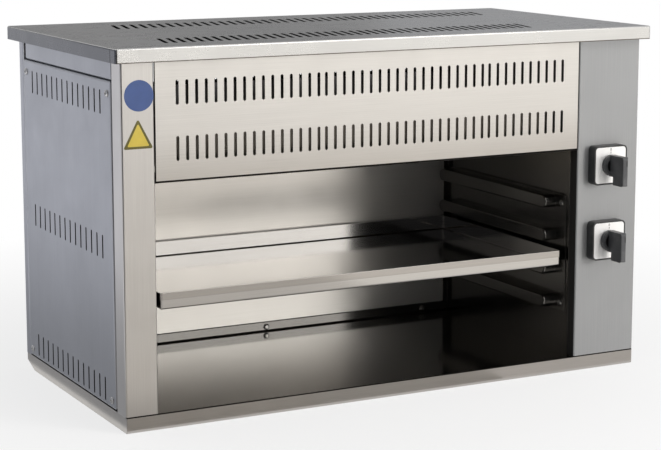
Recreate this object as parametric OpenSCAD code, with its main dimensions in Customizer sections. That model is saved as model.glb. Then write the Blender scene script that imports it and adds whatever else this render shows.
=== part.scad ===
// Counter-top cheese melter: a folded sheet-steel housing with an open heated cavity,
// a pan that slides on pressed runners and two rotary switches that each feed one heater.
// Millimetres. X to the right, Y to the back, Z up; the origin is the centre of the footprint.

/* [Overall size] */
// Width of the body across its front
body_w = 681; // [600:1:900]
// Depth of the body from its front face to its rear panel
body_d = 337; // [320:1:420]
// Height from the table to the top of the lid
body_h = 425; // [410:1:520]

/* [Sheet metal] */
// Thickness of the outer sheets
skin_t = 1.2; // [0.8:0.1:1.6]
// Thickness of the cavity sheets, the runners and the pan
liner_t = 1; // [0.6:0.1:1.5]
// Inside radius of a bend
bend_r = 1; // [0.4:0.1:2]
// Gap between neighbouring panels
seam = 0.3; // [0.2:0.1:0.8]

/* [Front] */
// Width of the left post
post_w = 38.5; // [30:0.5:60]
// Width of the control column on the right
column_w = 89; // [70:1:110]
// Height of the hood, from the opening to the top of the lid
hood_h = 149; // [135:1:165]
// Depth of the returns beside the opening
return_d = 14; // [8:1:20]
// Depth of the flange under the slotted front panel
vent_flange_d = 16; // [8:1:20]
// Height of the stiffening lip behind that flange
vent_lip_h = 10; // [5:1:20]

/* [Base] */
// Height of the base pan
base_h = 18; // [14:0.5:24]
// How far the base pan stands back from the sides
base_inset = 1; // [0:0.5:3]
// Length of the slope at the rear of the base pan
base_cut_d = 26; // [15:1:40]
// Height of the slope at the rear of the base pan
base_cut_h = 9; // [4:1:12]

/* [Lid] */
// Height of the lid's lip
lid_h = 16; // [10:1:22]
// Overhang of the lid at each side
lid_over_side = 9; // [2:1:20]
// Overhang of the lid at the front
lid_over_front = 10; // [2:1:20]
// Overhang of the lid at the back
lid_over_back = 18; // [2:1:30]
// First slot of the lid's front row, from the left side of the body
lid_front_start = 72; // [40:1:110]
// Space to the right of the lid's front row
lid_front_end = 112; // [60:1:130]
// Distance of the lid's front row from the front face
lid_front_row = 60; // [40:1:80]
// First slot of the lid's rear row, from the left side of the body
lid_rear_start = 103; // [40:1:120]
// Space to the right of the lid's rear row
lid_rear_end = 81; // [60:1:130]
// Distance of the lid's rear row from the rear panel
lid_rear_row = 71; // [45:1:90]

/* [Vent slots] */
// Width of a slot
slot_w = 3.4; // [2:0.1:5]
// Length of a slot
slot_l = 27; // [15:0.5:30]
// Distance between the slots of the lid and the front panel
slot_pitch = 11.5; // [8:0.1:11.5]
// Distance between two punched groups of slots in the front panel
group_gap = 9.5; // [6:0.1:14]
// First slot of the front panel, from the opening's left edge
vent_slot_start = 27; // [15:0.5:40]
// Space to the right of the front panel's rows
vent_slot_end = 24; // [15:0.5:40]
// Middle of the lower row, above the lower edge of the front panel
vent_row_low = 37; // [30:0.5:42]
// Distance between the two rows of the front panel
vent_row_pitch = 61.5; // [45:0.5:70]
// Distance between the slots of the side and rear panels
side_slot_pitch = 17.5; // [12:0.5:20]
// Space beside the rows of a side panel
side_slot_end = 31; // [20:0.5:50]
// Space beside the row of the rear panel
rear_slot_end = 100; // [60:1:200]
// Middle of the lowest row, above a side panel's lower edge
side_row_low = 18; // [16:0.5:40]
// Middle of the highest row, below a side panel's top edge
side_row_high = 25; // [20:0.5:40]

/* [Side panels] */
// Width of the front strip beside a side panel
side_front = 27.5; // [20:0.5:40]
// Shadow gap between the front strip and the panel
side_gap = 2.5; // [0.5:0.5:5]
// Width of the rear strip beside a side panel
rear_strip = 14.5; // [10:0.5:20]
// Height of the strip between the lid's lip and a side panel
top_strip = 21; // [12:1:30]
// Gap between a side panel and the bends or edges round it
panel_gap = 0.5; // [0.3:0.1:2]
// Depth of the recess that holds a side panel
recess_d = 8; // [5:0.5:12]
// Width of the flanges behind a side panel
panel_flange_w = 22; // [18:1:30]
// Notch at the rear end of the side rail
rail_notch = 11; // [5:1:20]
// Distance of the panel screws from the panel's front and rear edges
panel_screw_in = 10; // [8:0.5:12]
// Distance of the upper panel screws from the panel's top edge
panel_screw_top = 14; // [10:0.5:18]
// Distance of the lower panel screws from the panel's lower edge
panel_screw_low = 9; // [7:0.5:12]

/* [Cavity] */
// Space between the cavity's rear wall and the back of the body
rear_space = 33; // [28:1:60]
// Depth of the floor below the top of the base pan
floor_drop = 1; // [0:0.5:3]
// Height of the floor's rear flange
floor_flange_h = 12; // [8:1:20]
// Height of the cavity walls above the lower edge of the front panel
roof_rise = 69; // [60:1:85]
// Width of the side walls' flanges in front of the rear wall
corner_flange = 7; // [4:0.5:12]
// Width of the flanges that stiffen the cavity sheets
liner_flange = 12; // [8:1:16]
// Distance of the reflector's front apron from the front face
apron_y = 24; // [21:1:40]
// Lower edge of the apron, above the lower edge of the front panel
apron_rise = 16; // [10:1:30]
// Distance of the outer floor screws from the side walls
floor_screw_in = 41; // [20:1:60]

/* [Heaters] */
// Diameter of a heater tube
heater_d = 8.5; // [6:0.5:12]
// Distance between the two legs of a heater
heater_span = 60; // [40:2:80]
// Middle of the front heater, from the front face
heater_front = 100; // [75:1:110]
// Middle of the rear heater, from the cavity's rear wall
heater_rear = 89; // [50:1:95]
// Distance of the heaters below the reflector
heater_drop = 27; // [20:1:35]
// Gap between the heaters' round ends and the left wall
heater_end_gap = 24; // [10:1:60]
// Length of a heater's cold end outside the cavity
heater_tail = 32; // [20:1:45]
// Thickness of a hanger plate
hanger_t = 1.5; // [1:0.1:3]
// Distance of the left hanger from the heaters' round ends
hanger_left = 60; // [20:1:120]
// Distance of the right hanger from the right wall
hanger_right = 130; // [40:1:200]

/* [Runners] */
// Number of runner levels
levels = 4; // [3:1:4]
// Distance between the levels
level_pitch = 42; // [36:0.5:44]
// Middle of the lowest runner, above the table
level_first = 81; // [78:0.5:86]
// Level that holds the pan, counted from below
pan_level = 2; // [1:1:3]
// Height of a runner
runner_h = 16; // [12:0.5:20]
// How far a runner stands out of its plate
runner_out = 16; // [12:0.5:20]
// Radius of a runner's outer edges
runner_edge_r = 2; // [2:0.5:4]
// Front edge of the runner plates, from the front face
rack_front = 21; // [18:0.5:30]
// Start of the runners, behind the front edge of their plate
runner_start = 22; // [18:1:30]
// Distance of the plates' screws from the same edge
rack_screw_in = 10; // [8:0.5:12]
// Border of a runner plate above and below its outer runners
rack_border = 2; // [1:0.5:8]

/* [Pan] */
// Width of the pan's seat on the flat top of each runner
pan_seat = 1.5; // [1:0.5:6]
// Distance of the pan from the front face
pan_front = 16; // [5:0.5:30]
// Gap behind the pan
pan_rear_gap = 5; // [3:0.5:20]
// Height of the pan's lips
pan_h = 19; // [10:0.5:20]
// Height of the hem folded outwards round the pan's lips
hem_h = 8; // [3:0.5:9]
// Outside radius of the pan's corners and lower edges
pan_r = 2.5; // [2:0.5:8]
// Clearance between the pan and its runners
pan_clear = 0.3; // [0.2:0.1:1]

/* [Switches] */
// Side of a switch's square bezel
bezel_w = 48; // [44:1:56]
// Height of the bezel above the control panel
bezel_t = 13; // [8:0.5:16]
// Corner radius of the bezel
bezel_r = 6; // [2:0.5:8]
// Width of the bezel's rim round the face plate
bezel_rim = 2; // [1:0.5:4]
// Thickness of the face plate
plate_t = 0.8; // [0.5:0.1:1.5]
// Middle of the switches, from the opening's edge
switch_x = 40; // [34:0.5:46]
// Middle of the upper switch, above the table
switch_z = 257; // [240:1:300]
// Distance between the two switches
switch_pitch = 93.5; // [70:0.5:110]
// Diameter of a knob's round base
knob_d = 26; // [22:0.5:32]
// Height of the knob's round base
knob_base_t = 5; // [4:0.5:10]
// Depth of the round pocket in the knob's base
knob_pocket = 3; // [1:0.5:3]
// Rim of the knob's base round the pocket
knob_rim = 4.5; // [2:0.5:5]
// Height of the whole knob
knob_h = 30; // [25:0.5:40]
// Thickness of the knob's grip
grip_t = 8; // [6:0.5:10]
// Length of the grip below the knob's axis
grip_long = 23; // [16:0.5:28]
// Distance between the long end of the grip and the bezel
grip_lift = 10; // [4:0.5:14]
// Clearance between knob and face plate
knob_clear = 0.4; // [0.3:0.1:1]
// Diameter of a switch shaft
shaft_d = 6; // [5:0.5:8]
// Radial clearance of the shaft in its switch
shaft_clear = 0.05; // [0.02:0.01:0.1]
// Depth of a switch body behind the control panel
switch_body_d = 46; // [40:1:60]
// How far a switch body stands back inside its bezel
switch_body_in = 2.5; // [0:0.5:4]
// Distance of the switch screws from the edge of the face plate
switch_screw_in = 4; // [3:0.5:6]

/* [Supply inlet] */
// Height of the cable gland above the table
gland_z = 62; // [45:1:90]
// Radius of the gland's cable hole
gland_hole_r = 5; // [4:0.5:7]
// Radius of the gland's thread
gland_r = 10; // [9:0.5:14]
// Length of the gland outside the rear panel
gland_out = 17; // [14:0.5:18]

/* [Screws] */
// Radius of the panel screws' shanks
screw_r = 2; // [1.5:0.1:2.5]
// Radius of the panel screws' heads
head_r = 4; // [3:0.1:5]
// Height of the panel screws' heads
head_t = 2.2; // [1.5:0.1:3]
// Radial clearance of a screw in a through hole
hole_clear = 0.2; // [0.1:0.05:0.5]

/* [Hidden] */
$fn = 32;

steel = [0.74, 0.73, 0.71];
dull_steel = [0.58, 0.59, 0.62];
dark_plastic = [0.13, 0.14, 0.15];

column_x = body_w - column_w;
opening_z = body_h - hood_h;
lid_under = body_h - skin_t;
cavity_d = body_d - rear_space;
floor_z = base_h - floor_drop;
roof_z = opening_z + roof_rise;
side_top = body_h - lid_h - top_strip;
side_rear = body_d - rear_strip;
panel_y0 = side_front + bend_r + side_gap;
panel_y1 = side_rear - bend_r - panel_gap;
panel_z0 = base_h + bend_r + panel_gap;
panel_z1 = side_top - bend_r - panel_gap;
side_row_mid = (panel_z0 + side_row_low + panel_z1 - side_row_high) / 2;
side_row_zs = [panel_z0 + side_row_low, side_row_mid, panel_z1 - side_row_high];
flange_top = side_top - panel_flange_w - seam;
heater_z = roof_z - heater_drop;
heater_r = heater_d / 2;
bearing_clear = 0.3;
rack_rear = cavity_d - liner_t - bend_r - seam;
rack_low = level_first - runner_h / 2 - rack_border;
rack_high = level_first + (levels - 1) * level_pitch + runner_h / 2 + rack_border;
pan_z = level_first + (pan_level - 1) * level_pitch + runner_h / 2 + pan_clear;
pan_side_gap = runner_out - runner_edge_r - pan_seat - pan_r;
pan_w = column_x - post_w - 2 * pan_side_gap;
pan_d = cavity_d - liner_t - pan_rear_gap - pan_front;
switch_cx = column_x + switch_x;
cut_angle = atan(base_cut_h / base_cut_d);
neck_wall = 4;
neck_r = shaft_d / 2 + neck_wall;
plate_w = bezel_w - 2 * bezel_rim;
switch_body_w = bezel_w - 2 * switch_body_in;
switch_screw_at = plate_w / 2 - switch_screw_in;
switch_zs = [switch_z, switch_z - switch_pitch];
gland_x = column_x + column_w / 2;

// ---- frame and extrusion helpers ----

// Drawings are made from the front lower left corner of the body
module from_corner() {
    translate([-body_w / 2, -body_d / 2, 0]) children();
}

// Mirrors its children to the right side of the body
module mirrored_x() {
    translate([body_w, 0, 0]) mirror([1, 0, 0]) children();
}

// A drawing of Y across and Z up, extruded from x0 to x1
module along_x(x0, x1) {
    translate([x0, 0, 0]) rotate([90, 0, 90]) linear_extrude(x1 - x0) children();
}

// A drawing of X across and Z up, extruded from y0 to y1
module along_y(y0, y1) {
    translate([0, y1, 0]) rotate([90, 0, 0]) linear_extrude(y1 - y0) children();
}

// A drawing of X across and Y up, extruded from z0 to z1
module along_z(z0, z1) {
    translate([0, 0, z0]) linear_extrude(z1 - z0) children();
}

// A round bar along Y
module bar_y(x, z, r, y0, y1) {
    along_y(y0, y1) translate([x, z]) circle(r);
}

// A round bar along X
module bar_x(y, z, r, x0, x1) {
    along_x(x0, x1) translate([y, z]) circle(r);
}

// ---- sheet-metal helpers ----

function unit(v) = v / norm(v);
function turn(a, b, c) = acos(min(1, max(-1, unit(b - a) * unit(c - b))));

// Straight strip of thickness t whose middle runs from a to b
module strip(a, b, t) {
    d = b - a;
    translate(a) rotate(atan2(d[1], d[0])) translate([0, -t / 2]) square([norm(d), t]);
}

// Round bend at b between the directions from a and to c; rm is the radius of its middle
module bend(a, b, c, t, rm) {
    u = unit(b - a);
    v = unit(c - b);
    angle = turn(a, b, c);
    trim = rm * tan(angle / 2);
    centre = b + (v - u) * (rm / sin(angle));
    reach = 2;
    intersection() {
        translate(centre) difference() {
            circle(rm + t / 2);
            circle(rm - t / 2);
        }
        polygon([centre, centre + reach * (b - u * trim - centre), centre + reach * (b - centre),
                 centre + reach * (b + v * trim - centre)]);
    }
}

// Folded strip of sheet whose middle follows pts
module folded(pts, t) {
    last = len(pts) - 1;
    rm = bend_r + t / 2;
    trims = [for (i = [0:last]) i == 0 || i == last ? 0 : rm * tan(turn(pts[i - 1], pts[i], pts[i + 1]) / 2)];
    for (i = [0:last - 1]) {
        d = unit(pts[i + 1] - pts[i]);
        strip(pts[i] + d * trims[i], pts[i + 1] - d * trims[i + 1], t);
    }
    for (i = [1:last - 1]) bend(pts[i - 1], pts[i], pts[i + 1], t, rm);
}

// Rectangle with its corner at the origin and its two lower corners rounded
module low_rounded(w, h, r) {
    translate([r, 0]) square([w - 2 * r, h]);
    translate([0, r]) square([w, h - r]);
    for (x = [r, w - r]) translate([x, r]) circle(r);
}

// Rectangle with its corner at the origin and all corners rounded
module rounded(w, h, r) {
    translate([r, 0]) square([w - 2 * r, h]);
    translate([0, r]) square([w, h - 2 * r]);
    for (x = [r, w - r], y = [r, h - r]) translate([x, y]) circle(r);
}

// Block with round upright corners and a round edge below
module pan_block(w, d, h, r) {
    intersection() {
        along_x(0, w) low_rounded(d, h, r);
        along_y(0, d) low_rounded(w, h, r);
        along_z(0, h) rounded(w, d, r);
    }
}

// Open pan of sheet, folded up on four sides
module sheet_pan(w, d, h, t, r) {
    difference() {
        pan_block(w, d, h, r);
        translate([t, t, t]) pan_block(w - 2 * t, d - 2 * t, h, r - t);
    }
}

// Upright slot with round ends, centred
module slot() {
    square([slot_w, slot_l - slot_w], center = true);
    for (s = [-1, 1]) translate([0, s * (slot_l - slot_w) / 2]) circle(slot_w / 2);
}

// How many slots a pitch apart fit in a row of length l between the first and the last
function fitting(l, pitch) = floor(l / pitch) + 1;

// Row of slots from x0, all a pitch apart
module slot_row(x0, y, count, pitch) {
    for (i = [0:count - 1]) translate([x0 + i * pitch, y]) slot();
}

// ---- base and cavity ----

// Side view of the base pan, inset by k; the rear lower corner is sloped
module base_outline(k, top) {
    r = bend_r + skin_t - k;
    intersection() {
        translate([k, k]) low_rounded(body_d - 2 * k, top - k, r);
        polygon([[-1, -1], [-1, top + 1], [body_d - k, top + 1],
                 [body_d - k, base_cut_h + k * tan((90 - cut_angle) / 2)],
                 [body_d - base_cut_d - k * tan(cut_angle / 2), k], [body_d / 2, -1]]);
    }
}

module base_pan() {
    color(steel) from_corner() difference() {
        along_x(base_inset, body_w - base_inset) base_outline(0, base_h);
        along_x(base_inset + skin_t, body_w - base_inset - skin_t) base_outline(skin_t, base_h + 1);
    }
}

floor_y0 = skin_t + seam;
floor_y1 = cavity_d - liner_t;
floor_screw_z = floor_z + floor_flange_h / 2;
floor_screw_xs = [post_w + floor_screw_in, (post_w + column_x) / 2, column_x - floor_screw_in];

module cavity_floor() {
    h = liner_t / 2;
    color(steel) from_corner() difference() {
        union() {
            along_x(post_w, column_x) folded([[floor_y0 + h, skin_t + bend_r], [floor_y0 + h, floor_z - h],
                    [floor_y1 - h, floor_z - h], [floor_y1 - h, floor_z + floor_flange_h]], liner_t);
            for (x = [post_w, column_x - liner_t])
                translate([x, floor_y0 + liner_flange, skin_t])
                    cube([liner_t, floor_y1 - floor_y0 - 2 * liner_flange, floor_z - liner_t - skin_t]);
        }
        for (x = [post_w, column_x])
            translate([x - bend_r, floor_y1 - liner_t - bend_r, 0])
                cube([2 * bend_r, 2 * (liner_t + bend_r), base_h + 2 * floor_flange_h]);
        for (x = floor_screw_xs)
            bar_y(x, floor_screw_z, screw_r + hole_clear, floor_y1 - 2 * liner_t, cavity_d);
    }
}

// Left wall of the cavity, folded outwards at the front and inwards at the rear corner
module cavity_wall() {
    h = liner_t / 2;
    y0 = return_d + seam;
    along_z(skin_t, roof_z) folded([[post_w - liner_flange, y0 + h], [post_w - h, y0 + h],
            [post_w - h, cavity_d - h], [post_w + corner_flange, cavity_d - h]], liner_t);
}

// Positions of a rack's screws along the wall
rack_screw_y = rack_front + rack_screw_in;
rack_screw_zs = [level_first, level_first + (levels - 1) * level_pitch];

module rack_screw_holes(x0, x1) {
    for (z = rack_screw_zs) bar_x(rack_screw_y, z, screw_r + hole_clear, x0, x1);
}

module cavity_left_wall() {
    color(steel) from_corner() difference() {
        cavity_wall();
        rack_screw_holes(post_w - 2 * liner_t, post_w + liner_t);
    }
}

module cavity_right_wall() {
    color(steel) from_corner() difference() {
        translate([post_w + column_x, 0, 0]) mirror([1, 0, 0]) cavity_wall();
        rack_screw_holes(column_x - liner_t, column_x + 2 * liner_t);
        for (y = heater_leg_ys)
            bar_x(y, heater_z, heater_r + bearing_clear, column_x - liner_t, column_x + 2 * liner_t);
    }
}

module cavity_rear_wall() {
    h = liner_t / 2;
    color(steel) from_corner() difference() {
        along_x(post_w - liner_t, column_x + liner_t)
            folded([[cavity_d + h, skin_t], [cavity_d + h, roof_z - h],
                    [cavity_d + liner_flange, roof_z - h]], liner_t);
        for (x = floor_screw_xs) bar_y(x, floor_screw_z, screw_r + hole_clear, cavity_d - 1, cavity_d + 2);
    }
}

// Folded sheet over the heaters: a roof on the cavity walls and an apron behind the slotted panel
module heat_reflector() {
    h = liner_t / 2;
    rear = cavity_d + liner_flange;
    color(steel) from_corner() {
        along_x(post_w + seam, column_x - seam)
            folded([[apron_y + h, opening_z + apron_rise], [apron_y + h, roof_z + h],
                    [rear, roof_z + h]], liner_t);
        for (x = [post_w - liner_flange, column_x - seam])
            translate([x, apron_y + liner_flange, roof_z])
                cube([liner_flange + seam, rear - apron_y - liner_flange, liner_t]);
    }
}

// ---- heaters ----

heater_ys = [heater_front, cavity_d - heater_rear];
heater_leg_ys = [for (y = heater_ys, s = [-1, 1]) y + s * heater_span / 2];
heater_bend_x = post_w + heater_end_gap + heater_r + heater_span / 2;
pin_r = heater_r / 2;
pin_l = 10;

// Hairpin tube with its two legs through the right wall
module heater(y) {
    x_end = column_x + heater_tail;
    color([0.30, 0.28, 0.27]) from_corner() {
        for (s = [-1, 1]) {
            bar_x(y + s * heater_span / 2, heater_z, heater_r, heater_bend_x, x_end);
            bar_x(y + s * heater_span / 2, heater_z, pin_r, x_end, x_end + pin_l);
        }
        translate([heater_bend_x, y, heater_z]) rotate([0, 0, 90])
            rotate_extrude(angle = 180) translate([heater_span / 2, 0]) circle(heater_r);
    }
}

module front_heater() {
    heater(heater_ys[0]);
}

module rear_heater() {
    heater(heater_ys[1]);
}

hanger_xs = [heater_bend_x + hanger_left, column_x - hanger_right];
hanger_margin = 12;

// Two plates under the reflector that the heater legs pass through
module heater_hangers() {
    y0 = heater_leg_ys[0] - hanger_margin;
    y1 = heater_leg_ys[3] + hanger_margin;
    z0 = heater_z - hanger_margin;
    color(dull_steel) from_corner() for (x = hanger_xs) {
        along_x(x, x + hanger_t) difference() {
            translate([y0, z0]) square([y1 - y0, roof_z - z0]);
            for (y = heater_leg_ys) translate([y, heater_z]) circle(heater_r + bearing_clear);
            for (y = heater_ys)
                translate([y - heater_span / 2 + hanger_margin, z0 - 1])
                    square([heater_span - 2 * hanger_margin, hanger_margin + 1]);
        }
        translate([x, y0, roof_z - hanger_t]) cube([liner_flange, y1 - y0, hanger_t]);
    }
}

ferrule_wall = 3.5;
ferrule_r = heater_r + ferrule_wall;
ferrule_t = 6;

// Collars that clamp the heater legs outside the right wall
module heater_ferrules() {
    color([0.72, 0.62, 0.38]) from_corner() for (y = heater_leg_ys) {
        along_x(column_x + liner_t, column_x + liner_t + ferrule_t) translate([y, heater_z]) difference() {
            circle(ferrule_r, $fn = 6);
            circle(heater_r + shaft_clear);
        }
    }
}

// ---- outer sheets ----

// Plan of a front post of width w: return, front face, side strip and recess for the side panel
module post_plan(w) {
    h = skin_t / 2;
    folded([[w - h, return_d], [w - h, h], [h, h], [h, side_front - h],
            [recess_d + h, side_front - h], [recess_d + h, side_front + panel_flange_w]], skin_t);
}

// Front post with its flange cut away under the side rail
module post(w) {
    difference() {
        along_z(base_h + seam, lid_under) post_plan(w);
        translate([-1, side_front, flange_top]) cube([recess_d + skin_t + 2, 2 * panel_flange_w, body_h]);
    }
}

panel_screw_ys = [panel_y0 + panel_screw_in, panel_y1 - panel_screw_in];
panel_screw_zs = [panel_z0 + panel_screw_low, panel_z1 - panel_screw_top];

module panel_screw_holes(y_list, z_list) {
    for (y = y_list, z = z_list)
        bar_x(y, z, screw_r + hole_clear, -1, recess_d + 2 * skin_t);
}

module left_front_post() {
    color(steel) from_corner() difference() {
        post(post_w);
        panel_screw_holes([panel_screw_ys[0]], [panel_screw_zs[0]]);
    }
}

module control_panel() {
    color(steel) from_corner() difference() {
        mirrored_x() difference() {
            post(column_w);
            panel_screw_holes([panel_screw_ys[0]], [panel_screw_zs[0]]);
        }
        for (z = switch_zs) {
            bar_y(switch_cx, z, neck_r + bearing_clear, -1, 2 * skin_t);
            for (sx = [-1, 1], sz = [-1, 1])
                bar_y(switch_cx + sx * switch_screw_at, z + sz * switch_screw_at,
                      screw_r + hole_clear, -1, 2 * skin_t);
        }
    }
}

// Slots after which the punch starts a new group
group_ends = [16, 35];
group_step = slot_pitch - group_gap;
function groups_before(i) = len([for (g = group_ends) if (i >= g) g]);
function vent_slot_x(i) = post_w + vent_slot_start + i * slot_pitch - groups_before(i) * group_step;
vent_row_l = column_x - post_w - vent_slot_start - vent_slot_end + len(group_ends) * group_step;

// Both rows of slots of the front panel, punched in groups
module vent_slots() {
    for (row = [0, 1], i = [0:fitting(vent_row_l, slot_pitch) - 1])
        translate([vent_slot_x(i), opening_z + vent_row_low + row * vent_row_pitch]) slot();
}

module vent_panel() {
    h = skin_t / 2;
    bend_top = opening_z + skin_t + 2 * bend_r;
    x0 = post_w + seam;
    x1 = column_x - seam;
    color(steel) from_corner() {
        along_x(x0, x1) folded([[vent_flange_d - h, opening_z + vent_lip_h],
                [vent_flange_d - h, opening_z + h], [h, opening_z + h], [h, bend_top]], skin_t);
        along_y(0, skin_t) difference() {
            translate([x0, bend_top]) square([x1 - x0, lid_under - bend_top]);
            vent_slots();
        }
    }
}

// Left side rail: shelf under the lid, outer strip and flange behind the side panel
module side_rail() {
    h = skin_t / 2;
    y0 = side_front + seam;
    difference() {
        along_y(y0, side_rear - seam) folded([[recess_d + liner_flange, lid_under - h], [h, lid_under - h],
                [h, side_top + h], [recess_d + h, side_top + h],
                [recess_d + h, side_top - panel_flange_w]], skin_t);
        translate([-1, side_rear - rail_notch, side_top - 1])
            cube([recess_d + 1, 2 * rail_notch, lid_under - skin_t - side_top + 1]);
        panel_screw_holes(panel_screw_ys, [panel_screw_zs[1]]);
    }
}

module left_side_rail() {
    color(dull_steel) from_corner() side_rail();
}

module right_side_rail() {
    color(dull_steel) from_corner() mirrored_x() side_rail();
}

// Left side panel: a shallow pan, open to the inside, with three rows of slots
module side_panel() {
    w = panel_y1 - panel_y0;
    h = panel_z1 - panel_z0;
    slots = fitting(w - 2 * side_slot_end, side_slot_pitch);
    difference() {
        translate([0, panel_y0, panel_z0]) rotate([90, 0, 90])
            sheet_pan(w, h, recess_d, skin_t, bend_r + skin_t);
        for (z = side_row_zs)
            along_x(-1, 2 * skin_t)
                slot_row(panel_y0 + (w - (slots - 1) * side_slot_pitch) / 2, z, slots, side_slot_pitch);
        panel_screw_holes(panel_screw_ys, panel_screw_zs);
    }
}

module left_side_panel() {
    color(dull_steel) from_corner() side_panel();
}

module right_side_panel() {
    color(dull_steel) from_corner() mirrored_x() side_panel();
}

// Rear panel that wraps round both rear corners
module rear_panel() {
    h = skin_t / 2;
    left = [[recess_d + h, side_rear - panel_flange_w], [recess_d + h, side_rear + h],
            [h, side_rear + h], [h, body_d - h]];
    right = [for (i = [3:-1:0]) [body_w - left[i][0], left[i][1]]];
    slots = fitting(body_w - 2 * rear_slot_end, side_slot_pitch);
    color(dull_steel) from_corner() difference() {
        along_z(base_h + seam, lid_under) folded(concat(left, right), skin_t);
        for (x = [-1, body_w - recess_d - skin_t - 1])
            translate([x, side_rear - 2 * panel_flange_w, flange_top])
                cube([recess_d + skin_t + 2, 2 * panel_flange_w, body_h]);
        along_y(body_d - 2 * skin_t, body_d + 1)
            slot_row((body_w - (slots - 1) * side_slot_pitch) / 2, side_row_zs[2], slots, side_slot_pitch);
        bar_y(gland_x, gland_z, gland_r + hole_clear, body_d - 2 * skin_t, body_d + 1);
        panel_screw_holes([panel_screw_ys[1]], [panel_screw_zs[0]]);
        mirrored_x() panel_screw_holes([panel_screw_ys[1]], [panel_screw_zs[0]]);
    }
}

module top_cover() {
    w = body_w + 2 * lid_over_side;
    d = body_d + lid_over_front + lid_over_back;
    color(dull_steel) from_corner() difference() {
        translate([-lid_over_side, -lid_over_front, body_h]) mirror([0, 0, 1])
            sheet_pan(w, d, lid_h, skin_t, bend_r + skin_t);
        along_z(lid_under - 1, body_h + 1) {
            slot_row(lid_front_start, lid_front_row,
                     fitting(body_w - lid_front_start - lid_front_end, slot_pitch), slot_pitch);
            slot_row(lid_rear_start, body_d - lid_rear_row,
                     fitting(body_w - lid_rear_start - lid_rear_end, slot_pitch), slot_pitch);
        }
    }
}

// ---- runners and pan ----

// Half of a runner's section: r is half its height, out its depth, e its edge radius
module runner_half(r, out, e) {
    square([r, out - e]);
    square([r - e, out]);
    translate([r - e, out - e]) circle(e);
}

// Solid form of one pressed runner, standing out along +X from x = 0, from y0 to y1
module runner_form(y0, y1, r, out, e) {
    along_y(y0 + r, y1 - r) rotate(-90) {
        runner_half(r, out, e);
        mirror([1, 0]) runner_half(r, out, e);
    }
    for (y = [y0 + r, y1 - r])
        translate([0, y, 0]) rotate([0, 90, 0]) rotate_extrude() intersection() {
            runner_half(r, out, e);
            square([r, out]);
        }
}

// Left runner plate with its pressed runners
module rack() {
    r = runner_h / 2;
    x0 = post_w;
    y0 = rack_front + runner_start;
    y1 = rack_rear - rack_border;
    difference() {
        union() {
            translate([x0, rack_front, rack_low])
                cube([liner_t, rack_rear - rack_front, rack_high - rack_low]);
            for (i = [0:levels - 1])
                translate([x0, 0, level_first + i * level_pitch])
                    runner_form(y0, y1, r, runner_out + liner_t, runner_edge_r);
        }
        for (i = [0:levels - 1])
            translate([x0, 0, level_first + i * level_pitch])
                translate([-liner_t, 0, 0])
                    runner_form(y0 + liner_t, y1 - liner_t, r - liner_t, runner_out + liner_t,
                                runner_edge_r - liner_t);
        rack_screw_holes(x0 - 1, x0 + 2 * liner_t);
    }
}

module left_rack() {
    color(steel) from_corner() rack();
}

module right_rack() {
    color(steel) from_corner() translate([post_w + column_x, 0, 0]) mirror([1, 0, 0]) rack();
}

// Sliding pan with a hem folded outwards round its lips
module tray_pan() {
    w = pan_w - 2 * liner_t;
    d = pan_d - 2 * liner_t;
    color([0.82, 0.81, 0.79]) from_corner() translate([post_w + pan_side_gap, pan_front, pan_z]) {
        translate([liner_t, liner_t, 0]) sheet_pan(w, d, pan_h, liner_t, pan_r);
        along_z(pan_h - hem_h, pan_h) difference() {
            rounded(pan_w, pan_d, pan_r + liner_t);
            translate([liner_t, liner_t]) rounded(w, d, pan_r);
        }
    }
}

// ---- switches ----

// Square with rounded corners round the switch axis at height z
module switch_square(w, r, z) {
    translate([switch_cx - w / 2, z - w / 2]) rounded(w, w, r);
}

module switch_screw_holes(z, r, y0, y1) {
    for (sx = [-1, 1], sz = [-1, 1])
        bar_y(switch_cx + sx * switch_screw_at, z + sz * switch_screw_at, r, y0, y1);
}

plate_r = bezel_r - bezel_rim;
bezel_fit = 0.2;
head_clear = 0.2;
plate_hole = 1;
neck_drop = 0.5;

// Black square frame on the control panel, recessed for the face plate
module bezel(z) {
    color(dark_plastic) from_corner() difference() {
        along_y(-bezel_t, 0) switch_square(bezel_w, bezel_r, z);
        along_y(-bezel_t - 1, plate_t - bezel_t)
            switch_square(plate_w + 2 * bezel_fit, plate_r + bezel_fit, z);
        bar_y(switch_cx, z, neck_r + bearing_clear, -bezel_t - 1, 1);
        switch_screw_holes(z, screw_r + hole_clear, -bezel_t - 1, 1);
        switch_screw_holes(z, head_r + hole_clear, -bezel_t - 1, plate_t - bezel_t + head_t + head_clear);
    }
}

module upper_bezel() {
    bezel(switch_zs[0]);
}

module lower_bezel() {
    bezel(switch_zs[1]);
}

// Bright plate with the positions of the switch
module face_plate(z) {
    color([0.88, 0.89, 0.90]) from_corner() difference() {
        along_y(-bezel_t, plate_t - bezel_t) switch_square(plate_w, plate_r, z);
        bar_y(switch_cx, z, shaft_d / 2 + plate_hole, -bezel_t - 1, 1);
    }
}

module upper_face_plate() {
    face_plate(switch_zs[0]);
}

module lower_face_plate() {
    face_plate(switch_zs[1]);
}

cam_layers = 3;
cam_gap = 1.2;
cam_step = 2;
cam_w = switch_body_w - 2 * cam_step;
cam_corner = 8;
block_t = 10;
block_corner = 3;
layer_t = (switch_body_d - block_t) / cam_layers;
terminal_r = 2.4;
terminal_depth = 4;
terminal_at = cam_w / 5;
shaft_end_y = switch_body_d - 6;
switch_screw_depth = 8;

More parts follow.
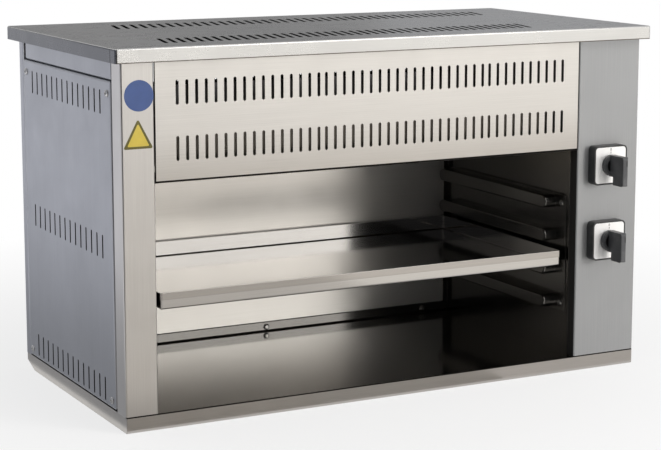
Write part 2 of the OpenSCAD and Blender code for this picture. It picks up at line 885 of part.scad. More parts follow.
// Cam switch: neck, mounting block and a stack of contact layers with screw terminals
module switch_body(z) {
    y0 = skin_t;
    color([0.16, 0.16, 0.17]) from_corner() difference() {
        union() {
            bar_y(switch_cx, z, neck_r, plate_t - bezel_t + neck_drop, y0);
            along_y(y0, y0 + block_t) switch_square(switch_body_w, block_corner, z);
            for (i = [0:cam_layers - 1]) {
                y = y0 + block_t + i * layer_t;
                along_y(y, y + cam_gap) switch_square(cam_w - 2 * cam_step, cam_corner - cam_step, z);
                along_y(y + cam_gap, y + layer_t) switch_square(cam_w, cam_corner, z);
            }
        }
        bar_y(switch_cx, z, shaft_d / 2 + shaft_clear, -bezel_t, y0 + shaft_end_y + 1);
        switch_screw_holes(z, screw_r, 0, y0 + switch_screw_depth);
        for (i = [0:cam_layers - 1], sx = [-1, 1], sz = [-1, 1])
            bar_x(y0 + block_t + (i + 0.5) * layer_t + cam_gap / 2, z + sz * terminal_at, terminal_r,
                  switch_cx + sx * cam_w / 2 - terminal_depth, switch_cx + sx * cam_w / 2 + terminal_depth);
    }
}

module upper_switch() {
    switch_body(switch_zs[0]);
}

module lower_switch() {
    switch_body(switch_zs[1]);
}

knob_chamfer = 1;
grip_corner = 3;
grip_edge = 1.5;
shaft_in = 14;

// Side view of the grip: Y across and Z up from the knob's axis, its foot at y1
module grip_outline(y1, z) {
    difference() {
        translate([y1 - knob_h, z - grip_long]) rounded(knob_h, grip_long + knob_d / 2, grip_corner);
        translate([y1 - grip_lift, z - grip_long - 1]) square([grip_lift + 1, grip_long + 1 - knob_d / 2]);
    }
}

// Knob with a round base, a pocket and an upright grip whose long end points down
module knob(z) {
    y0 = -bezel_t - knob_clear;
    y_rim = y0 - knob_base_t;
    r = knob_d / 2;
    color([0.20, 0.21, 0.22]) from_corner() difference() {
        union() {
            difference() {
                union() {
                    bar_y(switch_cx, z, r, y_rim + knob_chamfer, y0);
                    translate([switch_cx, y_rim + knob_chamfer, z]) rotate([90, 0, 0])
                        cylinder(knob_chamfer, r, r - knob_chamfer);
                }
                bar_y(switch_cx, z, r - knob_rim, y_rim - 1, y_rim + knob_pocket);
            }
            intersection() {
                along_x(switch_cx - grip_t / 2, switch_cx + grip_t / 2) grip_outline(y0, z);
                along_z(z - grip_long - 1, z + r + 1)
                    translate([switch_cx - grip_t / 2, y0 - knob_h]) rounded(grip_t, knob_h, grip_edge);
            }
        }
        bar_y(switch_cx, z, shaft_d / 2, y0 - shaft_in, y0 + 1);
    }
}

module upper_knob() {
    knob(switch_zs[0]);
}

module lower_knob() {
    knob(switch_zs[1]);
}

// Shaft from inside the knob to the end of the switch
module shaft(z) {
    y0 = -bezel_t - knob_clear - shaft_in;
    color(dull_steel) from_corner() bar_y(switch_cx, z, shaft_d / 2, y0, skin_t + shaft_end_y);
}

module upper_shaft() {
    shaft(switch_zs[0]);
}

module lower_shaft() {
    shaft(switch_zs[1]);
}

// ---- supply and fasteners ----

strip_w = 46;
strip_d = 24;
strip_h = 20;
strip_poles = 3;
pole_w = strip_w / strip_poles;
wire_r = 2.5;
wire_z = 9;
wire_screw_r = 2.6;
wire_screw_z = 12;
wire_screw_in = 6.5;
pole_groove_w = 1.6;
pole_groove_h = 4;

// Three-pole terminal block on the base pan
module terminal_block() {
    color([0.85, 0.84, 0.80]) from_corner()
        translate([gland_x - strip_w / 2, side_rear - 3 * strip_d, skin_t]) difference() {
            cube([strip_w, strip_d, strip_h]);
            for (i = [0:strip_poles - 1]) {
                along_y(-1, strip_d + 1) translate([(i + 0.5) * pole_w, wire_z]) circle(wire_r);
                for (y = [wire_screw_in, strip_d - wire_screw_in])
                    translate([(i + 0.5) * pole_w, y, wire_screw_z])
                        cylinder(strip_h, wire_screw_r, wire_screw_r);
            }
            for (i = [1:strip_poles - 1])
                translate([i * pole_w - pole_groove_w / 2, -1, strip_h - pole_groove_h])
                    cube([pole_groove_w, strip_d + 2, pole_groove_h + 1]);
        }
}

gland_flange_t = 4;
gland_in = 8;
locknut_t = 5;
nut_r = gland_r + 4;

// Gland with a flange and a domed nut; the cable hole runs right through
module cable_gland() {
    y1 = body_d + gland_out;
    dome = 5;
    color(dark_plastic) from_corner() difference() {
        union() {
            bar_y(gland_x, gland_z, gland_r, body_d - skin_t - gland_in, body_d);
            along_y(body_d, body_d + gland_flange_t) translate([gland_x, gland_z]) circle(nut_r, $fn = 6);
            bar_y(gland_x, gland_z, gland_r + 1.5, body_d + gland_flange_t, y1 - dome);
            translate([gland_x, y1 - dome, gland_z]) rotate([-90, 0, 0])
                cylinder(dome, gland_r + 1.5, gland_hole_r + 2);
        }
        bar_y(gland_x, gland_z, gland_hole_r, body_d - skin_t - gland_in - 1, y1 + 1);
    }
}

module gland_locknut() {
    y1 = body_d - skin_t;
    color(dark_plastic) from_corner() along_y(y1 - locknut_t, y1) translate([gland_x, gland_z]) difference() {
        circle(nut_r, $fn = 6);
        circle(gland_r);
    }
}

// Screw along +X: its head lies on the plane x and its shank runs on for l
module screw_x(x, y, z, l) {
    translate([x, y, z]) rotate([0, 90, 0]) {
        rotate_extrude() intersection() {
            translate([0, head_r - head_t]) circle(head_r * 1.15);
            translate([0, -head_t]) square([head_r, head_t]);
        }
        cylinder(l, screw_r, screw_r);
    }
}

screw_tail = 3;
panel_screw_l = recess_d + skin_t + screw_tail;
liner_screw_l = 2 * liner_t + screw_tail;

// Screws at the corners of both side panels
module side_panel_screws() {
    color(steel) from_corner() for (y = panel_screw_ys, z = panel_screw_zs) {
        screw_x(0, y, z, panel_screw_l);
        mirrored_x() screw_x(0, y, z, panel_screw_l);
    }
}

// Screws at the front of both runner plates
module rack_screws() {
    color(steel) from_corner() for (z = rack_screw_zs) {
        translate([column_x - liner_t, 0, 0]) screw_x(0, rack_screw_y, z, liner_screw_l);
        translate([post_w + liner_t, 0, 0]) mirror([1, 0, 0]) screw_x(0, rack_screw_y, z, liner_screw_l);
    }
}

// Screws through the floor's rear flange
module floor_screws() {
    color(steel) from_corner() for (x = floor_screw_xs)
        translate([x, floor_y1 - liner_t, floor_screw_z]) rotate([0, 0, 90])
            screw_x(0, 0, 0, liner_screw_l);
}

// Screws that hold each bezel and switch to the control panel, under the face plate
module switch_screws() {
    y_head = plate_t - bezel_t + head_t + head_clear;
    color(dull_steel) from_corner() for (z = switch_zs, sx = [-1, 1], sz = [-1, 1])
        translate([switch_cx + sx * switch_screw_at, y_head, z + sz * switch_screw_at])
            rotate([0, 0, 90]) screw_x(0, 0, 0, skin_t + switch_screw_depth - y_head);
}

base_pan();
cavity_floor();
cavity_left_wall();
cavity_right_wall();
cavity_rear_wall();
heat_reflector();
front_heater();
rear_heater();
heater_hangers();
heater_ferrules();
left_front_post();
control_panel();
vent_panel();
left_side_rail();
right_side_rail();
left_side_panel();
right_side_panel();
rear_panel();
top_cover();
left_rack();
right_rack();
tray_pan();
upper_bezel();
lower_bezel();
upper_face_plate();
lower_face_plate();
upper_switch();
lower_switch();
upper_knob();
lower_knob();
upper_shaft();
lower_shaft();
terminal_block();
cable_gland();
gland_locknut();
side_panel_screws();
rack_screws();
floor_screws();
switch_screws();
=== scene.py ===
import math

import bmesh
import bpy
from mathutils import Matrix, Vector

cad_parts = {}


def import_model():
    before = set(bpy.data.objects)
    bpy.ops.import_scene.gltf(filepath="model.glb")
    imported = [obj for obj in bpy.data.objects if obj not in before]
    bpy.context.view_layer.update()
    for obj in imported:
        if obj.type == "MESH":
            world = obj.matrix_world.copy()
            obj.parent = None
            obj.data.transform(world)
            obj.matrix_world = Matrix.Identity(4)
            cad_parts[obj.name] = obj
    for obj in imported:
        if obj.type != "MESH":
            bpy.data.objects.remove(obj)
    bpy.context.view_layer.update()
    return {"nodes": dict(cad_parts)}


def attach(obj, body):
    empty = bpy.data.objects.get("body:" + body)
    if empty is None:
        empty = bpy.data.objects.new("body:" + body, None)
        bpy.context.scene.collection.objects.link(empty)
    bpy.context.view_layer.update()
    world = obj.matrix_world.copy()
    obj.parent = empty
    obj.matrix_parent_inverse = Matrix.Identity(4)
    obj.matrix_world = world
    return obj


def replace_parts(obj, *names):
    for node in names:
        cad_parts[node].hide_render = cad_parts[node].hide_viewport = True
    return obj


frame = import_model()
NODES = frame["nodes"]

# Sizes of the solids in millimetres, measured at the body's front lower left corner
MM = 0.001
BODY_W, BODY_D, BODY_H = 681.0, 337.0, 425.0
POST_W, COLUMN_X = 38.5, 592.0
BASE_H, OPENING_Z, LIP_Z = 18.0, 276.0, 409.0
FLOOR_Z, FLANGE_Y, FLANGE_Z = 17.0, 302.0, 29.0
TRAY_Y, TRAY_Z = 16.0, 131.3
LID_X, LID_Y = (-9.0, BODY_W + 9.0), (-10.0, BODY_D + 18.0)
LID_T, LID_R, LID_CORNER = 1.2, 2.2, 3.0
SWITCH_X, SWITCH_ZS, PLATE_Y = COLUMN_X + 40.0, (257.0, 257.0 - 93.5), -13.0


def at(x, y, z):
    """Point in metres from millimetres measured at the body's front lower left corner."""
    return Vector(((x - BODY_W / 2) * MM, (y - BODY_D / 2) * MM, z * MM))


def box(xs, ys, zs):
    """Two corners in metres of a box that is given by its spans in millimetres."""
    return at(xs[0], ys[0], zs[0]), at(xs[1], ys[1], zs[1])


# ---- node graphs ----

BEVEL_SAMPLES = 6
EDGE_COSINE = 0.86  # where a rounded normal turns by 30 degrees, the edge shows fully


class Graph:
    """A material's node tree with short calls for the nodes used here."""

    def __init__(self, name):
        self.mat = bpy.data.materials.new(name)
        self.mat.use_nodes = True
        self.tree = self.mat.node_tree
        self.tree.nodes.clear()
        self.out = self.add("ShaderNodeOutputMaterial")
        self.bsdf = self.add("ShaderNodeBsdfPrincipled")
        self.link(self.bsdf.outputs[0], self.out.inputs[0])
        self.coords = self.add("ShaderNodeTexCoord").outputs["Object"]

    def add(self, kind, **values):
        node = self.tree.nodes.new(kind)
        for key, value in values.items():
            setattr(node, key, value)
        return node

    def link(self, source, target):
        self.tree.links.new(source, target)

    def scaled(self, scale, offset=(0, 0, 0)):
        node = self.add("ShaderNodeMapping")
        node.inputs["Scale"].default_value = scale
        node.inputs["Location"].default_value = offset
        self.link(self.coords, node.inputs["Vector"])
        return node.outputs[0]

    def noise(self, scale, detail=2.0, rough=0.5, vector=None, distortion=0.0):
        node = self.add("ShaderNodeTexNoise")
        node.inputs["Scale"].default_value = scale
        node.inputs["Detail"].default_value = detail
        node.inputs["Roughness"].default_value = rough
        node.inputs["Distortion"].default_value = distortion
        self.link(vector or self.coords, node.inputs["Vector"])
        return node.outputs["Fac"]

    def remap(self, value, low, high, to_low=0.0, to_high=1.0):
        node = self.add("ShaderNodeMapRange")
        node.inputs["From Min"].default_value = low
        node.inputs["From Max"].default_value = high
        node.inputs["To Min"].default_value = to_low
        node.inputs["To Max"].default_value = to_high
        self.link(value, node.inputs["Value"])
        return node.outputs["Result"]

    def math(self, operation, a, b):
        node = self.add("ShaderNodeMath", operation=operation)
        for socket, value in zip(node.inputs, (a, b)):
            if isinstance(value, (int, float)):
                socket.default_value = value
            else:
                self.link(value, socket)
        return node.outputs[0]

    def mix(self, factor, a, b, blend="MIX"):
        node = self.add("ShaderNodeMix", data_type="RGBA", blend_type=blend)
        sockets = (node.inputs[0], node.inputs[6], node.inputs[7])
        for socket, value in zip(sockets, (factor, a, b)):
            if isinstance(value, (int, float)):
                socket.default_value = value
            elif isinstance(value, tuple):
                socket.default_value = (*value, 1.0)
            else:
                self.link(value, socket)
        return node.outputs[2]

    def bump(self, height, strength, distance, normal=None):
        node = self.add("ShaderNodeBump")
        node.inputs["Strength"].default_value = strength
        node.inputs["Distance"].default_value = distance
        self.link(height, node.inputs["Height"])
        if normal is not None:
            self.link(normal, node.inputs["Normal"])
        return node.outputs[0]

    def inside(self, low, high):
        """1 inside a box that is given by two corners in metres, and 0 outside it."""
        axes = self.add("ShaderNodeSeparateXYZ")
        self.link(self.coords, axes.inputs[0])
        mask = 1.0
        for i in range(3):
            for operation, limit in (("GREATER_THAN", low[i]), ("LESS_THAN", high[i])):
                mask = self.math("MULTIPLY", self.math(operation, axes.outputs[i], limit), mask)
        return mask

    def edges(self, radius):
        """Rounded normals, and a mask that is 1 on edges sharper than the radius."""
        bevel = self.add("ShaderNodeBevel", samples=BEVEL_SAMPLES)
        bevel.inputs["Radius"].default_value = radius
        geometry = self.add("ShaderNodeNewGeometry")
        dot = self.add("ShaderNodeVectorMath", operation="DOT_PRODUCT")
        self.link(bevel.outputs[0], dot.inputs[0])
        self.link(geometry.outputs["Normal"], dot.inputs[1])
        return bevel.outputs[0], self.remap(dot.outputs["Value"], 1.0, EDGE_COSINE)


def toned(colour, factor, lift=0.0):
    """A colour made darker or brighter, held at or below white."""
    return tuple(min(1.0, c * factor + lift) for c in colour)


# Scale of the noise that makes the hairlines, which run along the named axis
GRAIN = {"x": (9, 1300, 1300), "y": (1300, 9, 1300), "z": (1300, 1300, 9)}
METAL_EDGE, PLASTIC_EDGE = 0.0004, 0.0007
# Near black for open joints, and for painted shade on inner faces, punched edges, bends and under
# lips
RAW_EDGE_AND_SHADE, RAW_ROUGH = (0.030, 0.028, 0.026), 0.7
BRIGHT_EDGE = (0.86, 0.85, 0.83)
# Black for the painted shade in the knobs' recesses
RECESS_SHADE_BLACK = (0.008, 0.008, 0.009)
DUST, DUST_COVER = (0.45, 0.44, 0.42), 0.06


def sheet_steel(name, colour, rough, grain, hairline=0.03, cloud=0.03, dent=0.12, edge_weight=0.3,
                upward_blend=None, dark=(), tones=(), metallic=1.0, edge_tone=BRIGHT_EDGE):
    """Brushed or rolled stainless sheet: hairlines, cloudy sheen, soft dents, and edges that turn
    to an edge tone: lighter worn edges, or dark edges that are painted shade.

    The upward blend is a colour and the two heights in metres between which the sheet turns to it.
    dark lists boxes that are painted near black and made rough: painted shade on inner faces,
    punched edges, bends and under the lid's lip, and open joints.
    tones lists boxes with a painted colour of their own: painted reflections of what the faces
    there mirror, painted light and painted shade."""
    g = Graph(name)
    bsdf = g.bsdf
    bsdf.inputs["Metallic"].default_value = metallic
    lines = g.noise(1.0, detail=4.0, rough=0.6, vector=g.scaled(GRAIN[grain]))
    broad = g.noise(4.5, detail=3.0, rough=0.5, distortion=0.4,
                    vector=g.scaled((1, 1, 1.3), offset=(3.1, 1.7, 0.4)))
    patches = g.noise(28.0, detail=4.0, rough=0.55)
    normal, edge = g.edges(METAL_EDGE)
    base = g.mix(g.remap(broad, 0.3, 0.7), toned(colour, 1 - 2 * cloud),
                 toned(colour, 1 + 2 * cloud))
    if upward_blend is not None:
        upper_colour, low, high = upward_blend
        axes = g.add("ShaderNodeSeparateXYZ")
        g.link(g.coords, axes.inputs[0])
        base = g.mix(g.remap(axes.outputs[2], low, high), base, upper_colour)
    for low, high, tone in tones:
        base = g.mix(g.inside(low, high), base, tone)
    streak = g.remap(lines, 0.25, 0.75, 1 - 2 * hairline, 1 + 2 * hairline)
    grey = g.add("ShaderNodeCombineColor")
    for socket in grey.inputs:
        g.link(streak, socket)
    base = g.mix(1.0, base, grey.outputs[0], "MULTIPLY")
    # Edges turn to the edge tone: a lighter tone is wear, a dark tone is painted shade on the
    # bends
    base = g.mix(g.math("MULTIPLY", edge, edge_weight), base, edge_tone)
    sheen = g.remap(patches, 0.3, 0.7, rough * 0.92, rough * 1.1)
    sheen = g.math("ADD", sheen, g.remap(lines, 0.2, 0.8, -0.02, 0.02))
    # Painted shade and open joints: the listed boxes turn near black and rough
    for low, high in dark:
        shade_and_joint_mask = g.inside(low, high)
        base = g.mix(shade_and_joint_mask, base, RAW_EDGE_AND_SHADE)
        sheen = g.math("MAXIMUM", sheen, g.math("MULTIPLY", shade_and_joint_mask, RAW_ROUGH))
    g.link(base, bsdf.inputs["Base Color"])
    g.link(sheen, bsdf.inputs["Roughness"])
    soft = g.bump(broad, dent, 0.004, normal)
    g.link(g.bump(lines, 0.12, 0.00004, soft), bsdf.inputs["Normal"])
    return g.mat


def moulded(name, colour, rough, scale=1400.0, edge_weight=0.3, dark=()):
    """Moulded plastic: a fine eroded texture, slightly worn edges and faint dust.

    dark lists boxes where the plastic is painted black as painted shade, in recesses such as the
    pointer notch and the pocket of a knob."""
    g = Graph(name)
    bsdf = g.bsdf
    bsdf.inputs["IOR"].default_value = 1.5
    fine = g.noise(scale, detail=2.0, rough=0.6)
    cloud = g.noise(60.0, detail=4.0, rough=0.6)
    normal, edge = g.edges(PLASTIC_EDGE)
    base = g.mix(g.remap(cloud, 0.35, 0.75), toned(colour, 0.85), toned(colour, 1.15))
    base = g.mix(g.math("MULTIPLY", g.remap(cloud, 0.5, 0.8), DUST_COVER), base, DUST)
    base = g.mix(g.math("MULTIPLY", edge, edge_weight), base, toned(colour, 2.4, 0.02))
    for low, high in dark:
        base = g.mix(g.inside(low, high), base, RECESS_SHADE_BLACK)
    g.link(base, bsdf.inputs["Base Color"])
    g.link(g.remap(fine, 0.3, 0.7, rough - 0.06, rough + 0.08), bsdf.inputs["Roughness"])
    g.link(g.bump(fine, 0.25, 0.00008, normal), bsdf.inputs["Normal"])
    return g.mat


def machined(name, colour, rough, spots=0.08):
    """Turned, plated or heat-stained metal of the small parts."""
    g = Graph(name)
    bsdf = g.bsdf
    bsdf.inputs["Metallic"].default_value = 1.0
    fine = g.noise(900.0, detail=3.0, rough=0.6)
    cloud = g.noise(70.0, detail=4.0, rough=0.6)
    normal, edge = g.edges(METAL_EDGE)
    base = g.mix(g.remap(cloud, 0.3, 0.7), toned(colour, 1 - spots), toned(colour, 1 + spots))
    base = g.mix(g.math("MULTIPLY", edge, 0.3), base, toned(colour, 1.35, 0.03))
    g.link(base, bsdf.inputs["Base Color"])
    g.link(g.remap(cloud, 0.3, 0.75, rough - 0.05, rough + 0.08), bsdf.inputs["Roughness"])
    g.link(g.bump(fine, 0.15, 0.00005, normal), bsdf.inputs["Normal"])
    return g.mat


def printed(name, colour, rough=0.35):
    """Printed film: even ink with faint mottling and a smooth clear coat."""
    g = Graph(name)
    cloud = g.noise(120.0, detail=4.0, rough=0.6)
    fine = g.noise(900.0, detail=2.0, rough=0.5)
    base = g.mix(g.remap(cloud, 0.3, 0.7), toned(colour, 0.94), toned(colour, 1.06))
    g.link(base, g.bsdf.inputs["Base Color"])
    g.bsdf.inputs["Coat Weight"].default_value = 0.3
    g.link(g.remap(cloud, 0.3, 0.7, rough - 0.05, rough + 0.06), g.bsdf.inputs["Roughness"])
    g.link(g.bump(fine, 0.1, 0.00003), g.bsdf.inputs["Normal"])
    return g.mat


# ---- boxes for the masks ----

FACE = 0.05  # a box that ends this far behind an outer face leaves the face bright
OVER = 1.0  # a box that marks a face reaches this far past it
# Spans of the whole width, of the cavity's width, and through the front plane
ACROSS, CAVITY_X = (-OVER, BODY_W + OVER), (POST_W - OVER, COLUMN_X + OVER)
FRONT_Y = (-OVER, OVER)

# Painted shade on the inner faces and punched edges of the outer sheets, but not on their outer
# faces
LID_MARGIN, LID_UNDER_Z = 12.0, 380.0
LID_INSIDE = [box((LID_MARGIN, BODY_W - LID_MARGIN), (LID_MARGIN, BODY_D - LID_MARGIN),
                  (LID_UNDER_Z, BODY_H - FACE))]
HOOD_Z = (OPENING_Z + 3.0, BODY_H)
HOOD_DEPTH, FOLD_Y = 60.0, (2.0, 100.0)
VENT_INSIDE = [box((POST_W - 0.5, COLUMN_X), (FACE, HOOD_DEPTH), HOOD_Z)]
POST_INSIDE = [box((4.0, 60.0), FOLD_Y, HOOD_Z), box((585.0, BODY_W - 4.0), FOLD_Y, HOOD_Z)]
SIDE_DEPTH, SIDE_Y, SIDE_Z, REAR_Y, REAR_Z = 30.0, (34.0, 318.0), (22.0, 384.0), 300.0, 20.0
SIDE_INSIDE = [
    box((FACE, SIDE_DEPTH), SIDE_Y, SIDE_Z),
    box((BODY_W - SIDE_DEPTH, BODY_W - FACE), SIDE_Y, SIDE_Z),
    box((SIDE_DEPTH, BODY_W - SIDE_DEPTH), (REAR_Y, BODY_D - FACE), (REAR_Z, BODY_H)),
]
# Painted shade on the backs of the cavity's side walls
WALL_BACKS = [box(xs, (-OVER, BODY_D), (0.0, BODY_H))
              for xs in ((POST_W - 2.0, POST_W - 0.4), (COLUMN_X + 0.4, COLUMN_X + 2.0))]

# Open joints between the sheets; painted shade on bends that look away from the light, on the
# column's inner return and in the floor's rear corner; and a painted shadow under the lid's lip
BEND, SEAM = 2.6, 1.3
HOOD_JOINTS_AND_SHADE = [
    box((POST_W, COLUMN_X), FRONT_Y, (OPENING_Z - OVER, OPENING_Z + BEND)),
    box((POST_W, POST_W + SEAM), FRONT_Y, (OPENING_Z, LIP_Z)),
    box((COLUMN_X - SEAM, COLUMN_X), FRONT_Y, (OPENING_Z, LIP_Z)),
    box((POST_W, COLUMN_X), FRONT_Y, (LIP_Z - OVER, LIP_Z + OVER)),
]
BASE_Y, BASE_JOINT_Z = (-OVER, 3.0), BASE_H - 0.7
BASE_JOINT = box(ACROSS, BASE_Y, (BASE_JOINT_Z, BASE_H + 0.1))
POST_JOINTS_AND_SHADE = [box(ACROSS, (-OVER, 2.0), (BASE_H - OVER, BASE_H + 0.9)),
               box(ACROSS, FRONT_Y, (LIP_Z - 0.8, LIP_Z + OVER))]
COLUMN_RETURN = box((COLUMN_X - 0.5, COLUMN_X + 1.5), (1.5, 100.0), (BASE_H, OPENING_Z))
FLOOR_JOINTS_AND_SHADE = [box(CAVITY_X, (FLANGE_Y - 2.0, FLANGE_Y + 2.0), (FLOOR_Z - OVER, FLOOR_Z + 2.0)),
                box(CAVITY_X, (0.0, 6.0), (0.0, BASE_H))]
FLANGE_TOP = box(CAVITY_X, (FLANGE_Y, FLANGE_Y + 3.0), (FLANGE_Z - 0.2, FLANGE_Z + 0.8))
SLIT_Y, SLIT_DEPTH = (5.0, 6.2), 0.4
LID_SLITS = [box(xs, SLIT_Y, (LIP_Z - OVER, BODY_H - LID_T))
             for xs in ((LID_X[0] - OVER, LID_X[0] + SLIT_DEPTH),
                        (LID_X[1] - SLIT_DEPTH, LID_X[1] + OVER))]

# Painted reflections, painted light and painted shade: faces painted darker or brighter than the
# rest of their piece for what they mirror, a painted shadow along the foot of the lid's front lip,
# painted light on the rear wall's foot and painted shade under the tray
BASE_FRONT = box(ACROSS, BASE_Y, (-OVER, BASE_JOINT_Z))
SIDE_LIPS = [box(xs, (LID_Y[0] + 0.5, LID_Y[1] - OVER), (LIP_Z - OVER, BODY_H - OVER))
             for xs in ((LID_X[0] - OVER, LID_X[0] + OVER), (LID_X[1] - OVER, LID_X[1] + OVER))]
# Painted shadow along the foot of the lid's front lip
LIP_FOOT = box((LID_X[0] - OVER, LID_X[1] + OVER), (LID_Y[0] - OVER, LID_Y[0] + 0.4),
               (LIP_Z - OVER, LIP_Z + OVER))
# Painted light on the rear wall below the tray
REAR_FOOT = box(CAVITY_X, (290.0, BODY_D), (0.0, TRAY_Z - 6.0))
TRAY_UNDER_Z = TRAY_Z + 0.2
# Painted shade on the tray's underside
TRAY_UNDERSIDE = box((0.0, BODY_W), (-5.0, BODY_D), (TRAY_Z - OVER, TRAY_UNDER_Z))
TRAY_LIP = box((0.0, BODY_W), (-5.0, TRAY_Y + 0.5), (TRAY_UNDER_Z, TRAY_Z + 30.0))

# Painted shade in the pointer notch of each knob, and in the round pocket in its base
NOTCH_X, NOTCH_Y, NOTCH_Z = (1.4, 4.5), (-44.0, -41.2), (1.9, 8.6)
POCKET_R, POCKET_Y = 8.6, (-18.2, -15.2)
KNOB_RECESS_SHADE = [mark for z in SWITCH_ZS for mark in (
    box((SWITCH_X + NOTCH_X[0], SWITCH_X + NOTCH_X[1]), NOTCH_Y, (z + NOTCH_Z[0], z + NOTCH_Z[1])),
    box((SWITCH_X - POCKET_R, SWITCH_X + POCKET_R), POCKET_Y, (z - POCKET_R, z + POCKET_R)))]

# ---- finishes ----

# Painted light: the vent panel turns lighter towards the top. Painted shade: its dark edges, its
# inside, the bend over the opening and the strip under the lid's lip. The base's front is a darker
# painted reflection.
HOUSING_X = sheet_steel(
    "housing_steel_across", (0.56, 0.535, 0.505), rough=0.33, grain="x", edge_weight=0.85,
    edge_tone=RAW_EDGE_AND_SHADE, upward_blend=((0.69, 0.67, 0.645), 0.283, 0.33),
    dark=VENT_INSIDE + HOOD_JOINTS_AND_SHADE + [BASE_JOINT], tones=[(*BASE_FRONT, (0.475, 0.45, 0.425))])
# The post's and the column's inner folds and the column's inner return are painted shade, and a
# painted shadow lies under the lid's lip.
HOUSING_Z = sheet_steel(
    "housing_steel_upright", (0.65, 0.63, 0.61), rough=0.33, grain="z",
    dark=POST_INSIDE + POST_JOINTS_AND_SHADE)
COLUMN = sheet_steel(
    "housing_steel_column", (0.285, 0.29, 0.295), rough=0.38, grain="z", dent=0.06,
    dark=POST_INSIDE + POST_JOINTS_AND_SHADE + [COLUMN_RETURN], metallic=0.35)
# The side and rear panels' dark edges, inner faces and punched slot edges are painted shade.
COVER_Z = sheet_steel(
    "cover_steel_upright", (0.47, 0.48, 0.51), rough=0.40, grain="z", dent=0.08, edge_weight=0.85,
    dark=SIDE_INSIDE, edge_tone=RAW_EDGE_AND_SHADE)
# The lid's side lips are a darker painted reflection, a painted shadow runs along the foot of its
# front lip, and its underside and slot walls are painted shade.
LID = sheet_steel(
    "cover_steel_lid", (0.62, 0.615, 0.605), rough=0.28, grain="x", dent=0.02, edge_weight=0.0,
    dark=LID_INSIDE + LID_SLITS,
    tones=[(*lip, (0.14, 0.144, 0.157)) for lip in SIDE_LIPS] + [(*LIP_FOOT, (0.14, 0.125, 0.11))])
# Heat-stained steel under the hood, painted darker still: partly a real heat stain, partly painted
# shade.
STAINED_AND_SHADED = sheet_steel(
    "cavity_steel_heat_stained_and_shaded", (0.24, 0.215, 0.185), rough=0.30, grain="x", cloud=0.12)
# The cavity's side walls are painted far darker than their steel, as painted dark reflections, and
# their backs are painted shade.
CAVITY = sheet_steel(
    "cavity_steel_rolled", (0.19, 0.185, 0.175), rough=0.17, grain="x", hairline=0.02,
    upward_blend=((0.32, 0.29, 0.24), 0.22, 0.34), dark=WALL_BACKS)
# The rear wall's foot below the tray is painted light, and the flange's top bend is painted shade.
REAR = sheet_steel(
    "cavity_steel_rear", (0.865, 0.835, 0.79), rough=0.22, grain="x", hairline=0.02,
    dark=[FLANGE_TOP], tones=[(*REAR_FOOT, (1.0, 0.97, 0.925))], metallic=0.70)
# The cavity's floor and racks are painted darker than their steel, as painted dark reflections.
FLOOR = sheet_steel(
    "cavity_steel_floor", (0.365, 0.356, 0.345), rough=0.11, grain="x", hairline=0.02, dent=0.08,
    dark=FLOOR_JOINTS_AND_SHADE)
RACK = sheet_steel(
    "cavity_steel_rack", (0.25, 0.245, 0.235), rough=0.22, grain="y", hairline=0.02, dent=0.05)
# The tray's underside is painted shade, and its lip is a darker painted reflection.
TRAY = sheet_steel(
    "tray_steel_rolled", (0.62, 0.607, 0.595), rough=0.10, grain="x", hairline=0.02, dent=0.08,
    tones=[(*TRAY_UNDERSIDE, (0.20, 0.18, 0.16)), (*TRAY_LIP, (0.52, 0.50, 0.48))])
SHEATH = machined("heater_sheath_stained", (0.16, 0.145, 0.13), rough=0.48, spots=0.25)
BRASS = machined("ferrule_brass_turned", (0.66, 0.50, 0.24), rough=0.30)
SHAFT = machined("shaft_steel_turned", (0.52, 0.52, 0.51), rough=0.30)
SCREW = machined("screw_steel_plated", (0.66, 0.65, 0.63), rough=0.24)
PLATE = sheet_steel(
    "plate_aluminium_satin", (0.88, 0.88, 0.88), rough=0.48, grain="x", hairline=0.01, cloud=0.01,
    dent=0.02, metallic=0.55)
BLACK = moulded("black_plastic_moulded", (0.026, 0.027, 0.029), rough=0.36)
# Painted shade in the knob's pointer notch and base pocket
KNOB = moulded(
    "knob_plastic_moulded", (0.060, 0.062, 0.066), rough=0.40, scale=1100.0, dark=KNOB_RECESS_SHADE)
CREAM = moulded("terminal_plastic_moulded", (0.72, 0.70, 0.64), rough=0.45, edge_weight=0.1)

FINISHES = {
    HOUSING_X: ["vent_panel", "base_pan"],
    HOUSING_Z: ["left_front_post"],
    COLUMN: ["control_panel"],
    COVER_Z: ["left_side_rail", "right_side_rail", "left_side_panel", "right_side_panel",
              "rear_panel"],
    LID: ["top_cover"],
    CAVITY: ["cavity_left_wall", "cavity_right_wall"],
    REAR: ["cavity_rear_wall"],
    STAINED_AND_SHADED: ["heat_reflector", "heater_hangers"],
    FLOOR: ["cavity_floor"],
    RACK: ["left_rack", "right_rack"],
    TRAY: ["tray_pan"],
    SHEATH: ["front_heater", "rear_heater"],
    BRASS: ["heater_ferrules"],
    SHAFT: ["upper_shaft", "lower_shaft"],
    SCREW: ["side_panel_screws", "rack_screws", "floor_screws", "switch_screws"],
    PLATE: ["upper_face_plate", "lower_face_plate"],
    BLACK: ["upper_bezel", "lower_bezel", "upper_switch", "lower_switch", "cable_gland",
            "gland_locknut"],
    KNOB: ["upper_knob", "lower_knob"],
    CREAM: ["terminal_block"],
}
for material, names in FINISHES.items():
    for name in names:
        for slot in NODES[name].material_slots:
            slot.material = material

# ---- added pieces ----


